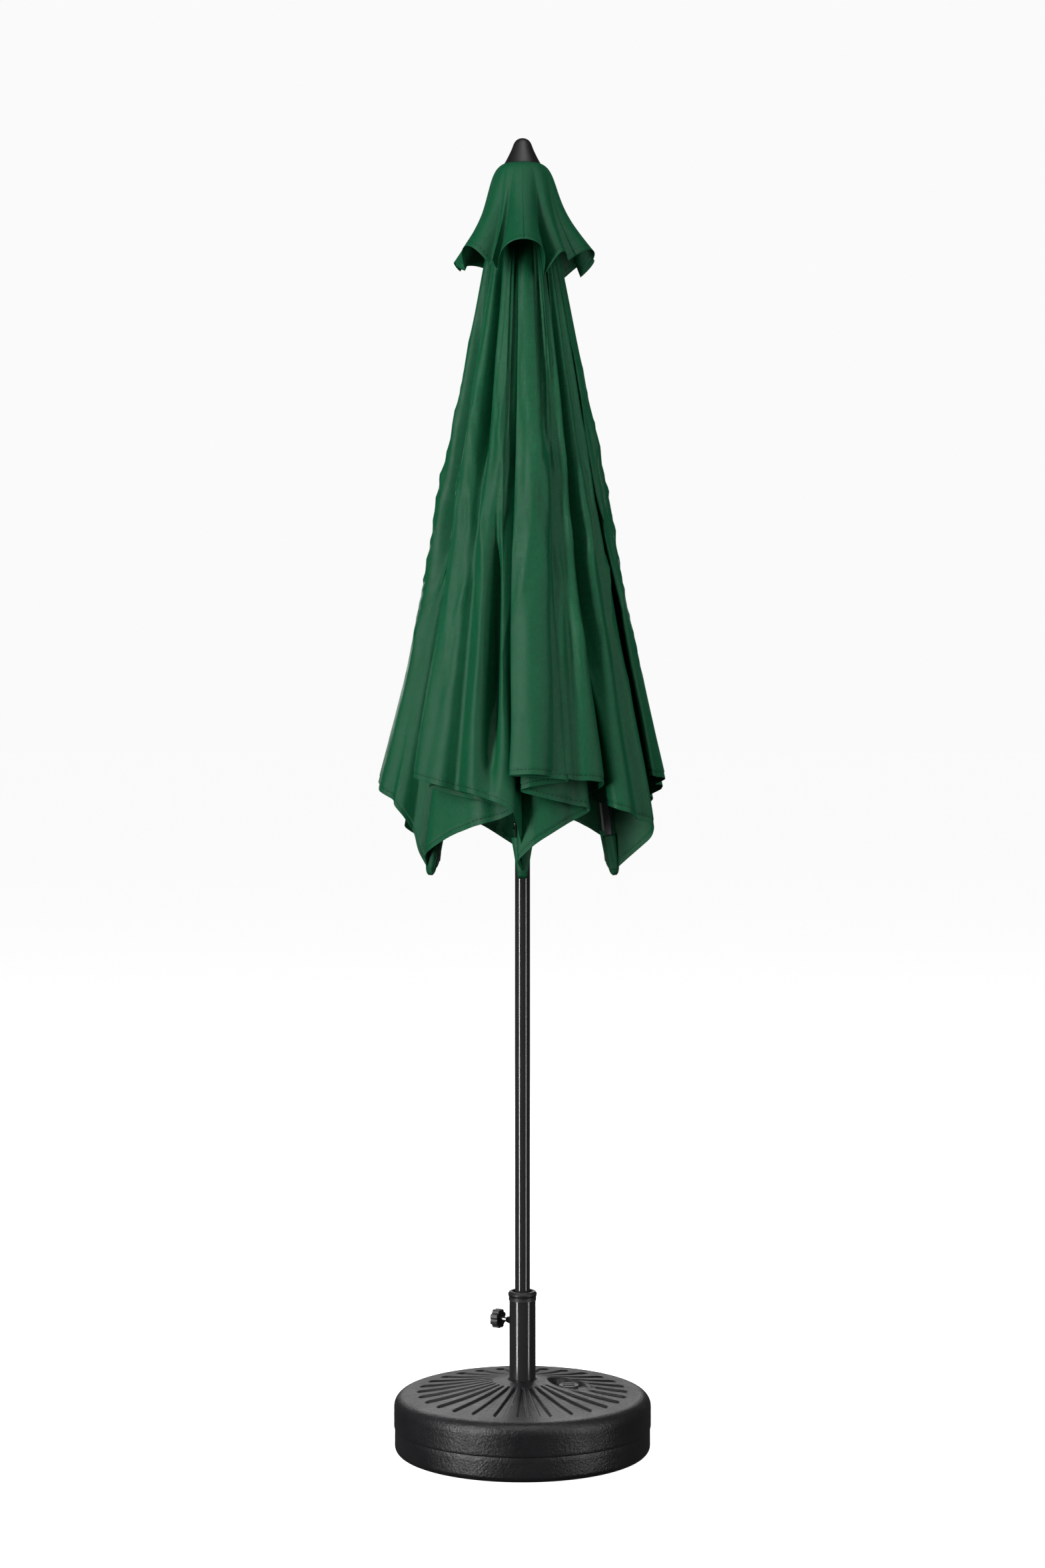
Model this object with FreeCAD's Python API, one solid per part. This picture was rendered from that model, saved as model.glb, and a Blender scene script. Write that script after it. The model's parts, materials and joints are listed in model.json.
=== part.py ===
"""A push-up patio umbrella, furled, standing in a round fillable base.

Millimetres, +Z up. The origin is on the ground, on the pole's axis. The front of the umbrella faces -Y.
Six ribs hang from a crown hub. Each is tied to a runner by a strut that is as long as the stretch of rib
between the hub and the strut's bracket, so the runner stays on the pole's axis at every opening angle.
"""
import FreeCAD, Part
import math
import os
from FreeCAD import Vector

# ---- driving dimensions -------------------------------------------------------------------------
RIBS = 6
RIB_AZIMUTHS = [-90 + 360 / RIBS * i for i in range(RIBS)]  # degrees, the first rib faces the front
GORE_HALF_ANGLE = 24.0  # each canopy panel's half width round the pole, degrees

TOTAL_HEIGHT = 2441.0
HUB_PIVOT_Z = 2378.0  # the height of the rib hinges
PIVOT_RADIUS = 26.0  # from the pole's axis to the hinges, at the hub and at the runner
FURLED_ANGLE = 7.3  # rib to vertical, furled, degrees
RIB_LENGTH = 1290.0  # from its hinge to the end of the tube
STRUT_LENGTH = 520.0  # pin to pin, and the same from the hub hinge to the strut's bracket

POLE_RADIUS = 14.0
POLE_WALL = 1.3
POLE_JOINT_Z = 1225.0
POLE_TOP_Z = 2376.0
SPIGOT_LENGTH = 120.0
POLE_FOOT_Z = 17.0
PLUG_FLANGE = 8.0

BASE_RADIUS = 239.0
BASE_RIM_Z = 106.0  # the top face at its outer edge
BASE_NECK_Z = 133.0  # the top face beside the stem
BASE_PARTING_Z = 47.0  # where the tank's two mould halves meet
BASE_SHOULDER = 22.0
BASE_FOOT_BEVEL = 12.0
BASE_WALL = 3.5
PARTING_STEP = 1.5
NECK_RADIUS = 34.0
SAND_TOP_Z = 62.0

STEM_RADIUS = 24.5
STEM_WALL = 2.0
STEM_FLOOR = 4.0  # the thickness of the plate welded across the stem's foot
STEM_TOP_Z = 288.0
COLLAR_TOP_Z = 296.0
COLLAR_BORE = 19.0
COLLAR_RIM_RADIUS = 26.8

CLAMP_Z = 239.0
CLAMP_AZIMUTH = 150.0
BOLT_RADIUS = 4.0
KNOB_RADIUS = 17.7
KNOB_INNER = 46.0  # from the pole's axis to the knob's near face
KNOB_THICKNESS = 14.0
KNOB_LOBES = 8

FILLER_X = 86.0
DISH_RADIUS = 36.0
DISH_FLOOR_Z = 112.0
FILLER_HOLE_RADIUS = 15.0
PLUG_CAP_RADIUS = 18.0
PLUG_CAP_HEIGHT = 9.0

PIN_RADIUS = 2.0
RUNNING = 0.06  # radial clearance of a hinge pin in what turns on it
SLOT_WIDTH = 8.4
EYE_RADIUS = 6.0
EYE_WIDTH = 7.0
SLOT_BOTTOM_RADIUS = 17.0
HUB_RADIUS = 35.0
HUB_BELOW = 14.0  # the hub's flange reaches this far below the hinges
HUB_ABOVE = 10.5
HUB_ROOF = 2.5

TUBE_DEPTH = 13.0  # rib tube, across the hinge
TUBE_WIDTH = 9.0  # rib and strut tubes, along the hinge
TUBE_WALL = 1.0
STRUT_DEPTH = 10.0
TUBE_START = 26.0  # from a hinge to where the full tube begins
FORK_LENGTH = 75.0
FORK_PLATE = 2.0
FORK_INSIDE = 6.0  # from the strut's centre plane to the inside of a fork plate
SLEEVE_WALL = 1.0
SLEEVE_HALF_LENGTH = 16.0
TIP_LENGTH = 18.0

RUNNER_BORE = 14.3
RUNNER_FLANGE_BELOW = 12.0
RUNNER_FLANGE_ABOVE = 13.0
RUNNER_GRIP_RADIUS = 22.0
RUNNER_GRIP_LENGTH = 50.0
BUTTON_RADIUS = 6.0
BUTTON_INNER = 17.5
BUTTON_OUTER = 25.0
BUTTON_AZIMUTH = -60.0
BUTTON_BELOW = 36.0

CANOPY_THICKNESS = 5.0
CANOPY_TOP = (62.0, 2200.0)  # radius and height of the panels' outer face at its top and its hem
CANOPY_HEM = (252.0, 1260.0)
VENT_THICKNESS = 4.0
VENT_TOP = (62.0, 2300.0)
VENT_HEM = (118.0, 2200.0)

FINIAL_RADIUS = 37.0
FINIAL_WAIST = 1.2  # how far the flare is drawn in at its middle
DOME_RADIUS = 20.0
STUD_RADIUS = 3.0

# ---- derived dimensions -------------------------------------------------------------------------
FURLED = math.radians(FURLED_ANGLE)
RUNNER_PIVOT_Z = HUB_PIVOT_Z - 2 * STRUT_LENGTH * math.cos(FURLED)
HUB_TOP_Z = HUB_PIVOT_Z + HUB_ABOVE
STEM_FOOT_Z = BASE_WALL + 0.5

Z_AXIS = Vector(0, 0, 1)
Y_AXIS = Vector(0, 1, 0)
ORIGIN = Vector(0, 0, 0)


# ---- shape helpers ------------------------------------------------------------------------------
def cylinder(radius, z0, z1):
    return Part.makeCylinder(radius, z1 - z0, Vector(0, 0, z0))


def tube(outer, inner, z0, z1):
    return cylinder(outer, z0, z1).cut(cylinder(inner, z0, z1))


def block(x0, x1, y0, y1, z0, z1):
    return Part.makeBox(x1 - x0, y1 - y0, z1 - z0, Vector(x0, y0, z0))


def cross_pin(radius, width, z):
    """A cylinder along Y, centred on the Z axis."""
    return Part.makeCylinder(radius, width, Vector(0, -width / 2, z), Y_AXIS)


def spoke(radius, start, end, z, azimuth):
    """A horizontal cylinder that points away from the pole."""
    a = math.radians(azimuth)
    away = Vector(math.cos(a), math.sin(a), 0)
    return Part.makeCylinder(radius, end - start, away * start + Vector(0, 0, z), away)


def revolve(edges, start=0.0, angle=360.0):
    """Turns a closed profile of edges in the XZ plane round the pole's axis."""
    turned = Part.Face(Part.Wire(edges)).revolve(ORIGIN, Z_AXIS, angle)
    turned.rotate(ORIGIN, Z_AXIS, start)
    return Part.makeSolid(turned) if turned.ShapeType != "Solid" else turned


def outline(points):
    """Straight edges through (radius, height) points, closed."""
    corners = [Vector(r, 0, z) for r, z in points]
    return Part.makePolygon(corners + corners[:1]).Edges


def turned(shape, azimuth):
    shape = shape.copy()
    shape.rotate(ORIGIN, Z_AXIS, azimuth)
    return shape


def fused(shapes):
    return shapes[0].multiFuse(shapes[1:]).removeSplitter()


def at_hub(shape, azimuth):
    """Places a shape drawn hanging below a hinge at the origin: leaned out, then put at its hub hinge."""
    shape = shape.copy()
    shape.rotate(ORIGIN, Y_AXIS, -FURLED_ANGLE)
    shape.translate(Vector(PIVOT_RADIUS, 0, HUB_PIVOT_Z))
    return turned(shape, azimuth)


def at_runner(shape, azimuth):
    """Places a shape drawn standing on a hinge at the origin: leaned out, then put at its runner hinge."""
    shape = shape.copy()
    shape.rotate(ORIGIN, Y_AXIS, FURLED_ANGLE)
    shape.translate(Vector(PIVOT_RADIUS, 0, RUNNER_PIVOT_Z))
    return turned(shape, azimuth)


# ---- base ---------------------------------------------------------------------------------------
def tank_profile(inset):
    """The tank's section, from the axis out, drawn in by inset on every side."""
    r = BASE_RADIUS - inset
    low = inset
    top = BASE_RIM_Z - inset
    shoulder = BASE_SHOULDER - inset
    centre = Vector(r - shoulder, 0, top - shoulder)
    mid = centre + Vector(shoulder * math.sin(math.pi / 4), 0, shoulder * math.sin(math.pi / 4))
    wall_top = Vector(r, 0, top - shoulder)
    shoulder_top = Vector(r - shoulder, 0, top)
    step = BASE_PARTING_Z
    corners = [
        Vector(0, 0, low),
        Vector(r - PARTING_STEP - BASE_FOOT_BEVEL, 0, low),
        Vector(r - PARTING_STEP, 0, low + BASE_FOOT_BEVEL),
        Vector(r - PARTING_STEP, 0, step),
        Vector(r, 0, step),
        wall_top,
    ]
    edges = [Part.LineSegment(a, b).toShape() for a, b in zip(corners, corners[1:])]
    edges.append(Part.Arc(wall_top, mid, shoulder_top).toShape())
    neck = Vector(NECK_RADIUS, 0, BASE_NECK_Z - inset)
    roof = [shoulder_top, neck, Vector(0, 0, BASE_NECK_Z - inset), corners[0]]
    return edges + [Part.LineSegment(a, b).toShape() for a, b in zip(roof, roof[1:])]


def at_filler(shape):
    shape = shape.copy()
    shape.translate(Vector(FILLER_X, 0, 0))
    return shape


def base_shell():
    """The blow-moulded tank, with a closed well for the stem and a dished filler hole."""
    dish = at_filler(cylinder(DISH_RADIUS, DISH_FLOOR_Z, BASE_NECK_Z))
    dish_wall = at_filler(cylinder(DISH_RADIUS + BASE_WALL, DISH_FLOOR_Z - BASE_WALL, BASE_NECK_Z))
    well_wall = cylinder(STEM_RADIUS + BASE_WALL, 0, BASE_NECK_Z)
    cavity = revolve(tank_profile(BASE_WALL)).cut(dish_wall).cut(well_wall)
    well = cylinder(STEM_RADIUS, STEM_FOOT_Z, BASE_NECK_Z + 1)
    hole = at_filler(cylinder(FILLER_HOLE_RADIUS, DISH_FLOOR_Z - 2 * BASE_WALL, DISH_FLOOR_Z + 1))
    return revolve(tank_profile(0)).cut(dish).cut(cavity).cut(well).cut(hole)


def ballast_fill():
    """Dry sand lying level in the tank."""
    gap = BASE_WALL + 0.5
    outer = BASE_RADIUS - PARTING_STEP - gap
    inner = STEM_RADIUS + gap
    return revolve(outline([
        (inner, gap),
        (outer - BASE_FOOT_BEVEL, gap),
        (outer, gap + BASE_FOOT_BEVEL),
        (outer, SAND_TOP_Z),
        (inner, SAND_TOP_Z),
    ]))


def base_stem():
    """The steel socket tube, with its foot plate and the clamp bolt's hole."""
    body = cylinder(STEM_RADIUS, STEM_FOOT_Z, STEM_TOP_Z)
    bore = cylinder(STEM_RADIUS - STEM_WALL, STEM_FOOT_Z + STEM_FLOOR, STEM_TOP_Z)
    return body.cut(bore).cut(spoke(BOLT_RADIUS + 0.6, 15, 30, CLAMP_Z, CLAMP_AZIMUTH))


def stem_collar():
    """The moulded ring that caps the stem and steadies the pole."""
    skirt_bottom = STEM_TOP_Z - 9
    return revolve(outline([
        (COLLAR_BORE, STEM_TOP_Z),
        (STEM_RADIUS, STEM_TOP_Z),
        (STEM_RADIUS, skirt_bottom),
        (STEM_RADIUS + 1.1, skirt_bottom),
        (STEM_RADIUS + 1.1, STEM_TOP_Z - 2),
        (COLLAR_RIM_RADIUS, STEM_TOP_Z + 1),
        (COLLAR_RIM_RADIUS, STEM_TOP_Z + 4),
        (COLLAR_RIM_RADIUS - 3, COLLAR_TOP_Z),
        (COLLAR_BORE + 1, COLLAR_TOP_Z),
        (COLLAR_BORE, COLLAR_TOP_Z - 1),
    ]))


def clamp_nut():
    """The threaded boss welded to the stem's side."""
    a = math.radians(CLAMP_AZIMUTH)
    away = Vector(math.cos(a), math.sin(a), 0)
    start = STEM_RADIUS - 1.5
    boss = Part.makeCone(8.0, 5.5, 10.0, away * start + Vector(0, 0, CLAMP_Z), away)
    stem = cylinder(STEM_RADIUS, 0, STEM_TOP_Z)
    return boss.cut(stem).cut(spoke(BOLT_RADIUS + RUNNING, 15, 40, CLAMP_Z, CLAMP_AZIMUTH))


def clamp_bolt():
    return spoke(BOLT_RADIUS, POLE_RADIUS + 0.4, KNOB_INNER + 6, CLAMP_Z, CLAMP_AZIMUTH)


def clamp_knob():
    """A lobed hand knob with a short hub, bored for the bolt's end."""
    body = cylinder(KNOB_RADIUS, KNOB_INNER, KNOB_INNER + KNOB_THICKNESS)
    hub = cylinder(8, KNOB_INNER - 2, KNOB_INNER)
    bite = Part.makeCylinder(5.0, KNOB_THICKNESS, Vector(KNOB_RADIUS + 2.6, 0, KNOB_INNER))
    bites = [turned(bite, 360 / KNOB_LOBES * i) for i in range(KNOB_LOBES)]
    bore = cylinder(BOLT_RADIUS + RUNNING, KNOB_INNER - 3, KNOB_INNER + 6.4)
    knob = fused([body, hub]).cut(Part.makeCompound(bites)).cut(bore)
    knob.rotate(ORIGIN, Y_AXIS, 90)
    knob.translate(Vector(0, 0, CLAMP_Z))
    return turned(knob, CLAMP_AZIMUTH)


def filler_plug():
    """The push-in bung of the tank, with a finger bar across its top."""
    cap = cylinder(PLUG_CAP_RADIUS, DISH_FLOOR_Z + 0.3, DISH_FLOOR_Z + PLUG_CAP_HEIGHT)
    shank = cylinder(FILLER_HOLE_RADIUS - 0.3, DISH_FLOOR_Z - 10, DISH_FLOOR_Z + 1)
    side = [block(-11, 11, y, y + 7, DISH_FLOOR_Z + 5, DISH_FLOOR_Z + 20) for y in (-10, 3)]
    return at_filler(fused([cap, shank]).cut(Part.makeCompound(side)))


# ---- pole ---------------------------------------------------------------------------------------
def pole_end_plug():
    flange = cylinder(POLE_RADIUS, POLE_FOOT_Z - PLUG_FLANGE - 0.2, POLE_FOOT_Z - 0.2)
    shank = cylinder(POLE_RADIUS - POLE_WALL - RUNNING, POLE_FOOT_Z - 1, POLE_FOOT_Z + 30)
    return fused([flange, shank])


def button_hole(radius):
    return spoke(radius, 8, 20, POLE_JOINT_Z - SPIGOT_LENGTH / 2, CLAMP_AZIMUTH)


def lower_pole():
    pole = tube(POLE_RADIUS, POLE_RADIUS - POLE_WALL, POLE_FOOT_Z, POLE_JOINT_Z)
    return pole.cut(button_hole(4.2))


def upper_pole():
    """The upper tube, with the swaged spigot that plugs into the lower one."""
    inner = POLE_RADIUS - POLE_WALL
    body = tube(POLE_RADIUS, inner, POLE_JOINT_Z, POLE_TOP_Z)
    spigot = tube(inner - 0.1, inner - POLE_WALL, POLE_JOINT_Z - SPIGOT_LENGTH, POLE_JOINT_Z + 12)
    shoulder = tube(inner, inner - POLE_WALL, POLE_JOINT_Z, POLE_JOINT_Z + 12)
    return fused([body, shoulder, spigot]).cut(button_hole(4.2))


def pole_button():
    """The snap button that keeps the two poles together, on its leaf spring."""
    z = POLE_JOINT_Z - SPIGOT_LENGTH / 2
    stem = Part.makeCylinder(4.0, 7.5, Vector(8.5, 0, z), Vector(1, 0, 0))
    leaf = block(8.0, 8.8, -4, 4, z - 34, z + 6)
    foot = block(-8.8, -8.0, -4, 4, z - 34, z + 2)
    bend = block(-8.8, 8.8, -4, 4, z - 35, z - 34)
    return turned(fused([stem, leaf, bend, foot]), CLAMP_AZIMUTH)


def hinge_slots(z, low, high):
    """Six radial slots through a flange whose hinges are at height z."""
    half = SLOT_WIDTH / 2
    slot = block(SLOT_BOTTOM_RADIUS, HUB_RADIUS + 5, -half, half, z + low, z + high)
    return Part.makeCompound([turned(slot, a) for a in RIB_AZIMUTHS])


def hinge_pins(z):
    pin = cross_pin(PIN_RADIUS, 18, 0)
    pin.translate(Vector(PIVOT_RADIUS, 0, z))
    return Part.makeCompound([turned(pin, a) for a in RIB_AZIMUTHS])


def hub():
    """The crown: a slotted flange that the ribs hang in, on a sleeve over the pole's top."""
    flange = cylinder(HUB_RADIUS, HUB_PIVOT_Z - HUB_BELOW, HUB_TOP_Z)
    sleeve = cylinder(18, HUB_PIVOT_Z - 38, HUB_PIVOT_Z - HUB_BELOW)
    body = fused([flange, sleeve])
    body = body.cut(hinge_slots(HUB_PIVOT_Z, -HUB_BELOW, HUB_ABOVE - HUB_ROOF))
    body = body.cut(cylinder(POLE_RADIUS, HUB_PIVOT_Z - 38, POLE_TOP_Z))
    return body.cut(hinge_pins(HUB_PIVOT_Z)).cut(cylinder(STUD_RADIUS, POLE_TOP_Z, HUB_TOP_Z))


def finial():
    """The bell-shaped cap that screws down on the hub."""
    low = Vector(FINIAL_RADIUS, 0, HUB_TOP_Z)
    rim = Vector(FINIAL_RADIUS, 0, HUB_TOP_Z + 3)
    neck = Vector(DOME_RADIUS, 0, TOTAL_HEIGHT - DOME_RADIUS)
    waist = (rim + neck) * 0.5 - Vector(FINIAL_WAIST, 0, 0)
    top = Vector(0, 0, TOTAL_HEIGHT)
    on_dome = neck + Vector(DOME_RADIUS * (math.sqrt(0.5) - 1), 0, DOME_RADIUS * math.sqrt(0.5))
    edges = [
        Part.LineSegment(Vector(0, 0, HUB_TOP_Z), low).toShape(),
        Part.LineSegment(low, rim).toShape(),
        Part.Arc(rim, waist, neck).toShape(),
        Part.Arc(neck, on_dome, top).toShape(),
        Part.LineSegment(top, Vector(0, 0, HUB_TOP_Z)).toShape(),
    ]
    return revolve(edges).cut(cylinder(STUD_RADIUS, HUB_TOP_Z, HUB_TOP_Z + 26))


def finial_stud():
    return cylinder(STUD_RADIUS, POLE_TOP_Z, HUB_TOP_Z + 25)


# ---- folding frame ------------------------------------------------------------------------------
def rib():
    """A square-section steel rib, hanging from its eye."""
    d, w = TUBE_DEPTH / 2, TUBE_WIDTH / 2
    eye = cross_pin(EYE_RADIUS, EYE_WIDTH, 0)
    neck = block(-5, 5, -EYE_WIDTH / 2, EYE_WIDTH / 2, -TUBE_START - 2, 0)
    body = block(-d, d, -w, w, -RIB_LENGTH, -TUBE_START)
    inside = block(-d + TUBE_WALL, d - TUBE_WALL, -w + TUBE_WALL, w - TUBE_WALL, -RIB_LENGTH, -TUBE_START - 2)
    whole = fused([eye, neck, body.cut(inside)])
    return whole.cut(cross_pin(PIN_RADIUS + RUNNING, 20, 0)).cut(cross_pin(PIN_RADIUS, 20, -STRUT_LENGTH))


def strut_bracket():
    """A sleeve round the rib, and the headed pin that the strut's fork turns on."""
    d, w = TUBE_DEPTH / 2, TUBE_WIDTH / 2
    low, high = -STRUT_LENGTH - SLEEVE_HALF_LENGTH, -STRUT_LENGTH + SLEEVE_HALF_LENGTH
    outer = block(-d - SLEEVE_WALL, d + SLEEVE_WALL, -w - SLEEVE_WALL, w + SLEEVE_WALL, low, high)
    sleeve = outer.cut(block(-d, d, -w, w, low, high)).cut(cross_pin(PIN_RADIUS, 20, -STRUT_LENGTH))
    head_start = FORK_INSIDE + FORK_PLATE + 0.5
    head = Part.makeCylinder(3.5, 1.5, Vector(0, head_start, -STRUT_LENGTH), Y_AXIS)
    other = Part.makeCylinder(3.5, 1.5, Vector(0, -head_start - 1.5, -STRUT_LENGTH), Y_AXIS)
    pin = fused([cross_pin(PIN_RADIUS, 2 * head_start, -STRUT_LENGTH), head, other])
    return Part.makeCompound([sleeve, pin])


def rib_tip():
    """The moulded end cap that sits in the canopy's corner pocket."""
    d, w = TUBE_DEPTH / 2 + 1.2, TUBE_WIDTH / 2 + 1.2
    low = -RIB_LENGTH - TIP_LENGTH / 2
    cap = block(-d, d, -w, w, low, low + TIP_LENGTH)
    cap = cap.makeFillet(2.5, [e for e in cap.Edges if e.BoundBox.ZMax < low + 0.1])
    hollow = block(-d + 1.2, d - 1.2, -w + 1.2, w - 1.2, -RIB_LENGTH, low + TIP_LENGTH)
    return cap.cut(hollow)


def strut():
    """The brace: an eye at the runner, a tube, and a fork that straddles the rib."""
    d, w = STRUT_DEPTH / 2, TUBE_WIDTH / 2
    tube_end = STRUT_LENGTH - FORK_LENGTH + 15
    fork_start = STRUT_LENGTH - FORK_LENGTH
    outside = FORK_INSIDE + FORK_PLATE
    eye = cross_pin(EYE_RADIUS, EYE_WIDTH, 0)
    neck = block(-d, d, -EYE_WIDTH / 2, EYE_WIDTH / 2, 0, TUBE_START + 2)
    body = block(-d, d, -w, w, TUBE_START, tube_end)
    inside = block(-d + TUBE_WALL, d - TUBE_WALL, -w + TUBE_WALL, w - TUBE_WALL, TUBE_START + 2, fork_start)
    yoke = block(-d, d, -outside, outside, fork_start, tube_end)
    cheek = block(-d, d, FORK_INSIDE, outside, fork_start, STRUT_LENGTH)
    other = block(-d, d, -outside, -FORK_INSIDE, fork_start, STRUT_LENGTH)
    ends = [
        Part.makeCylinder(EYE_RADIUS, FORK_PLATE, Vector(0, y, STRUT_LENGTH), Y_AXIS)
        for y in (FORK_INSIDE, -outside)
    ]
    whole = fused([eye, neck, body.cut(inside), yoke, cheek, other] + ends)
    hole = cross_pin(PIN_RADIUS + RUNNING, 30, STRUT_LENGTH)
    return whole.cut(cross_pin(PIN_RADIUS + RUNNING, 20, 0)).cut(hole)


def runner():
    """The slider: a slotted flange for the struts over a hand grip with the release button's hole."""
    flange = cylinder(HUB_RADIUS, RUNNER_PIVOT_Z - RUNNER_FLANGE_BELOW, RUNNER_PIVOT_Z + RUNNER_FLANGE_ABOVE)
    grip_top = RUNNER_PIVOT_Z - RUNNER_FLANGE_BELOW
    grip = cylinder(RUNNER_GRIP_RADIUS, grip_top - RUNNER_GRIP_LENGTH, grip_top)
    body = fused([flange, grip]).cut(hinge_slots(RUNNER_PIVOT_Z, -8, RUNNER_FLANGE_ABOVE))
    body = body.cut(cylinder(RUNNER_BORE, grip_top - RUNNER_GRIP_LENGTH, RUNNER_PIVOT_Z + RUNNER_FLANGE_ABOVE))
    button_z = RUNNER_PIVOT_Z - BUTTON_BELOW
    body = body.cut(spoke(BUTTON_RADIUS + 0.3, 10, 30, button_z, BUTTON_AZIMUTH))
    return body.cut(hinge_pins(RUNNER_PIVOT_Z))


def runner_button():
    z = RUNNER_PIVOT_Z - BUTTON_BELOW
    return spoke(BUTTON_RADIUS, BUTTON_INNER, BUTTON_OUTER, z, BUTTON_AZIMUTH)


# ---- canopy -------------------------------------------------------------------------------------
def fabric_panel(top, hem, thickness, azimuth):
    """A curved panel of cloth hanging between two ribs, as a thin sector of a cone."""
    profile = outline([top, hem, (hem[0] - thickness, hem[1]), (top[0] - thickness, top[1])])
    return revolve(profile, azimuth - GORE_HALF_ANGLE, 2 * GORE_HALF_ANGLE)


# ---- export -------------------------------------------------------------------------------------
def nodes():
    made = {
        "base_shell": base_shell(),
        "ballast_fill": ballast_fill(),
        "base_stem": base_stem(),
        "stem_collar": stem_collar(),
        "clamp_nut": clamp_nut(),
        "clamp_bolt": clamp_bolt(),
        "clamp_knob": clamp_knob(),
        "filler_plug": filler_plug(),
        "pole_end_plug": pole_end_plug(),
        "lower_pole": lower_pole(),
        "upper_pole": upper_pole(),
        "pole_button": pole_button(),
        "hub": hub(),
        "hub_pins": hinge_pins(HUB_PIVOT_Z),
        "finial": finial(),
        "finial_stud": finial_stud(),
        "runner": runner(),
        "runner_pins": hinge_pins(RUNNER_PIVOT_Z),
        "runner_button": runner_button(),
    }
    for i, azimuth in enumerate(RIB_AZIMUTHS, start=1):
        made[f"rib_{i}"] = at_hub(rib(), azimuth)
        made[f"strut_bracket_{i}"] = at_hub(strut_bracket(), azimuth)
        made[f"rib_tip_{i}"] = at_hub(rib_tip(), azimuth)
        made[f"strut_{i}"] = at_runner(strut(), azimuth)
        middle = azimuth + 180 / RIBS
        made[f"canopy_gore_{i}"] = fabric_panel(CANOPY_TOP, CANOPY_HEM, CANOPY_THICKNESS, middle)
        made[f"vent_flap_{i}"] = fabric_panel(VENT_TOP, VENT_HEM, VENT_THICKNESS, middle)
    return made


os.makedirs("parts", exist_ok=True)
for name, shape in nodes().items():
    if not shape.isValid() or not shape.Solids:
        raise ValueError(f"{name} isn't a valid solid")
    shape.exportStep(f"parts/{name}.step")
    print(f"{name}: {len(shape.Solids)} solid(s), {shape.Volume / 1000:.1f} cm3")
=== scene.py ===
"""Looks of the patio umbrella: the folded green canopy, its vent, and the finish of every rigid part."""

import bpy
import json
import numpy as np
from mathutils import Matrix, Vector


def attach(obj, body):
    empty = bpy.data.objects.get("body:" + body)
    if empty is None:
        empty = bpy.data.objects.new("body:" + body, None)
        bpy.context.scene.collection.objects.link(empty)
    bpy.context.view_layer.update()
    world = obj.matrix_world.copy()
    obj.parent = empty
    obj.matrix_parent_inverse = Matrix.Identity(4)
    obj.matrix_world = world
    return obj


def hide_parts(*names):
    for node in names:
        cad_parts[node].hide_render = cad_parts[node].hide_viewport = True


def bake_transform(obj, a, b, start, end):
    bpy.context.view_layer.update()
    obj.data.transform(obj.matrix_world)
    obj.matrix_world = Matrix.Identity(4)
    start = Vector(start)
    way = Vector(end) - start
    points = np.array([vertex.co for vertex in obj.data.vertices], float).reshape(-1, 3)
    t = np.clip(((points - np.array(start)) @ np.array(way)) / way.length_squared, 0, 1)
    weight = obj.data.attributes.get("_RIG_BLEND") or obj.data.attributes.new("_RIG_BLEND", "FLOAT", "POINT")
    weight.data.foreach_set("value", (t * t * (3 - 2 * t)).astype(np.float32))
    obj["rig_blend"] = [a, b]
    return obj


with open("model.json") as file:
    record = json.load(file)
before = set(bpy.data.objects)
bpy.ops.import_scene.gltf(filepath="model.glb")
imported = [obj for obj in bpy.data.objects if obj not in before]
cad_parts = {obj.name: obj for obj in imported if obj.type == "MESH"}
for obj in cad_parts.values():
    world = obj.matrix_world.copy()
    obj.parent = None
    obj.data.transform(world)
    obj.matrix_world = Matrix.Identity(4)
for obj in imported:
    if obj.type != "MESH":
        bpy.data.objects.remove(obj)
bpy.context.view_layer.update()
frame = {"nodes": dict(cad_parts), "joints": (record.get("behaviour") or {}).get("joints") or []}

import json
import math

import bpy
import numpy as np
from mathutils import Vector, noise

# ---- the linkage, as the CAD model has it (metres, degrees) ----
HUB_R, HUB_Z = 0.026, 2.378
FURLED, OPENING = 7.3, 65.0
RIB_LENGTH = 1.300
GORES = 6
STEP = 60.0
FIRST_RIB = -90.0

# ---- the cloth ----
CLOTH_LIFT = 0.010       # cloth above the rib's centre line
CLOTH_TOP = 0.150        # where a gore starts, from the apex
PINCH = 7.9              # the fall that long creases draw the cloth in to
VALLEY_FALL = 6.2        # the fall that the deep valleys draw it in to
DRIFTS = {               # fold edges that swing with height: u, degrees
    1: ((0.485, -2.0), (0.556, 12.0)),
    6: ((0.825, -13.0),)}
DRIFT_WIDTH = 0.036      # of the gore's width
COLUMNS = 150
HEM_BAND = 0.013         # the doubled, stitched edge
HEM_STEP = 0.0011        # how far it stands off the cloth
ROWS_ABOVE_HEM = 118
CLOTH_THICKNESS = 0.0007
FOLD_ROUNDING = 0.0085   # of the gore's width
VENT_COLUMNS, VENT_ROWS = 90, 44
VENT_TOP_R, VENT_TOP_Z = 0.0355, 2.3915


def rad(degrees):
    return math.radians(degrees)


def outward(azimuth):
    """Unit vector away from the pole; azimuth in degrees, a number or an array."""
    a = np.radians(azimuth)
    return np.stack([np.cos(a), np.sin(a), np.zeros_like(a)], -1)


UP = np.array([0.0, 0.0, 1.0])


def along(azimuth, fall):
    """Unit vector fall degrees away from straight down, towards azimuth."""
    t = np.radians(fall)
    return np.sin(t)[..., None] * outward(azimuth) - np.cos(t)[..., None] * UP


def proud(azimuth, fall):
    """Unit vector square to along(), pointing away from the pole."""
    t = np.radians(fall)
    return np.cos(t)[..., None] * outward(azimuth) + np.sin(t)[..., None] * UP


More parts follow.
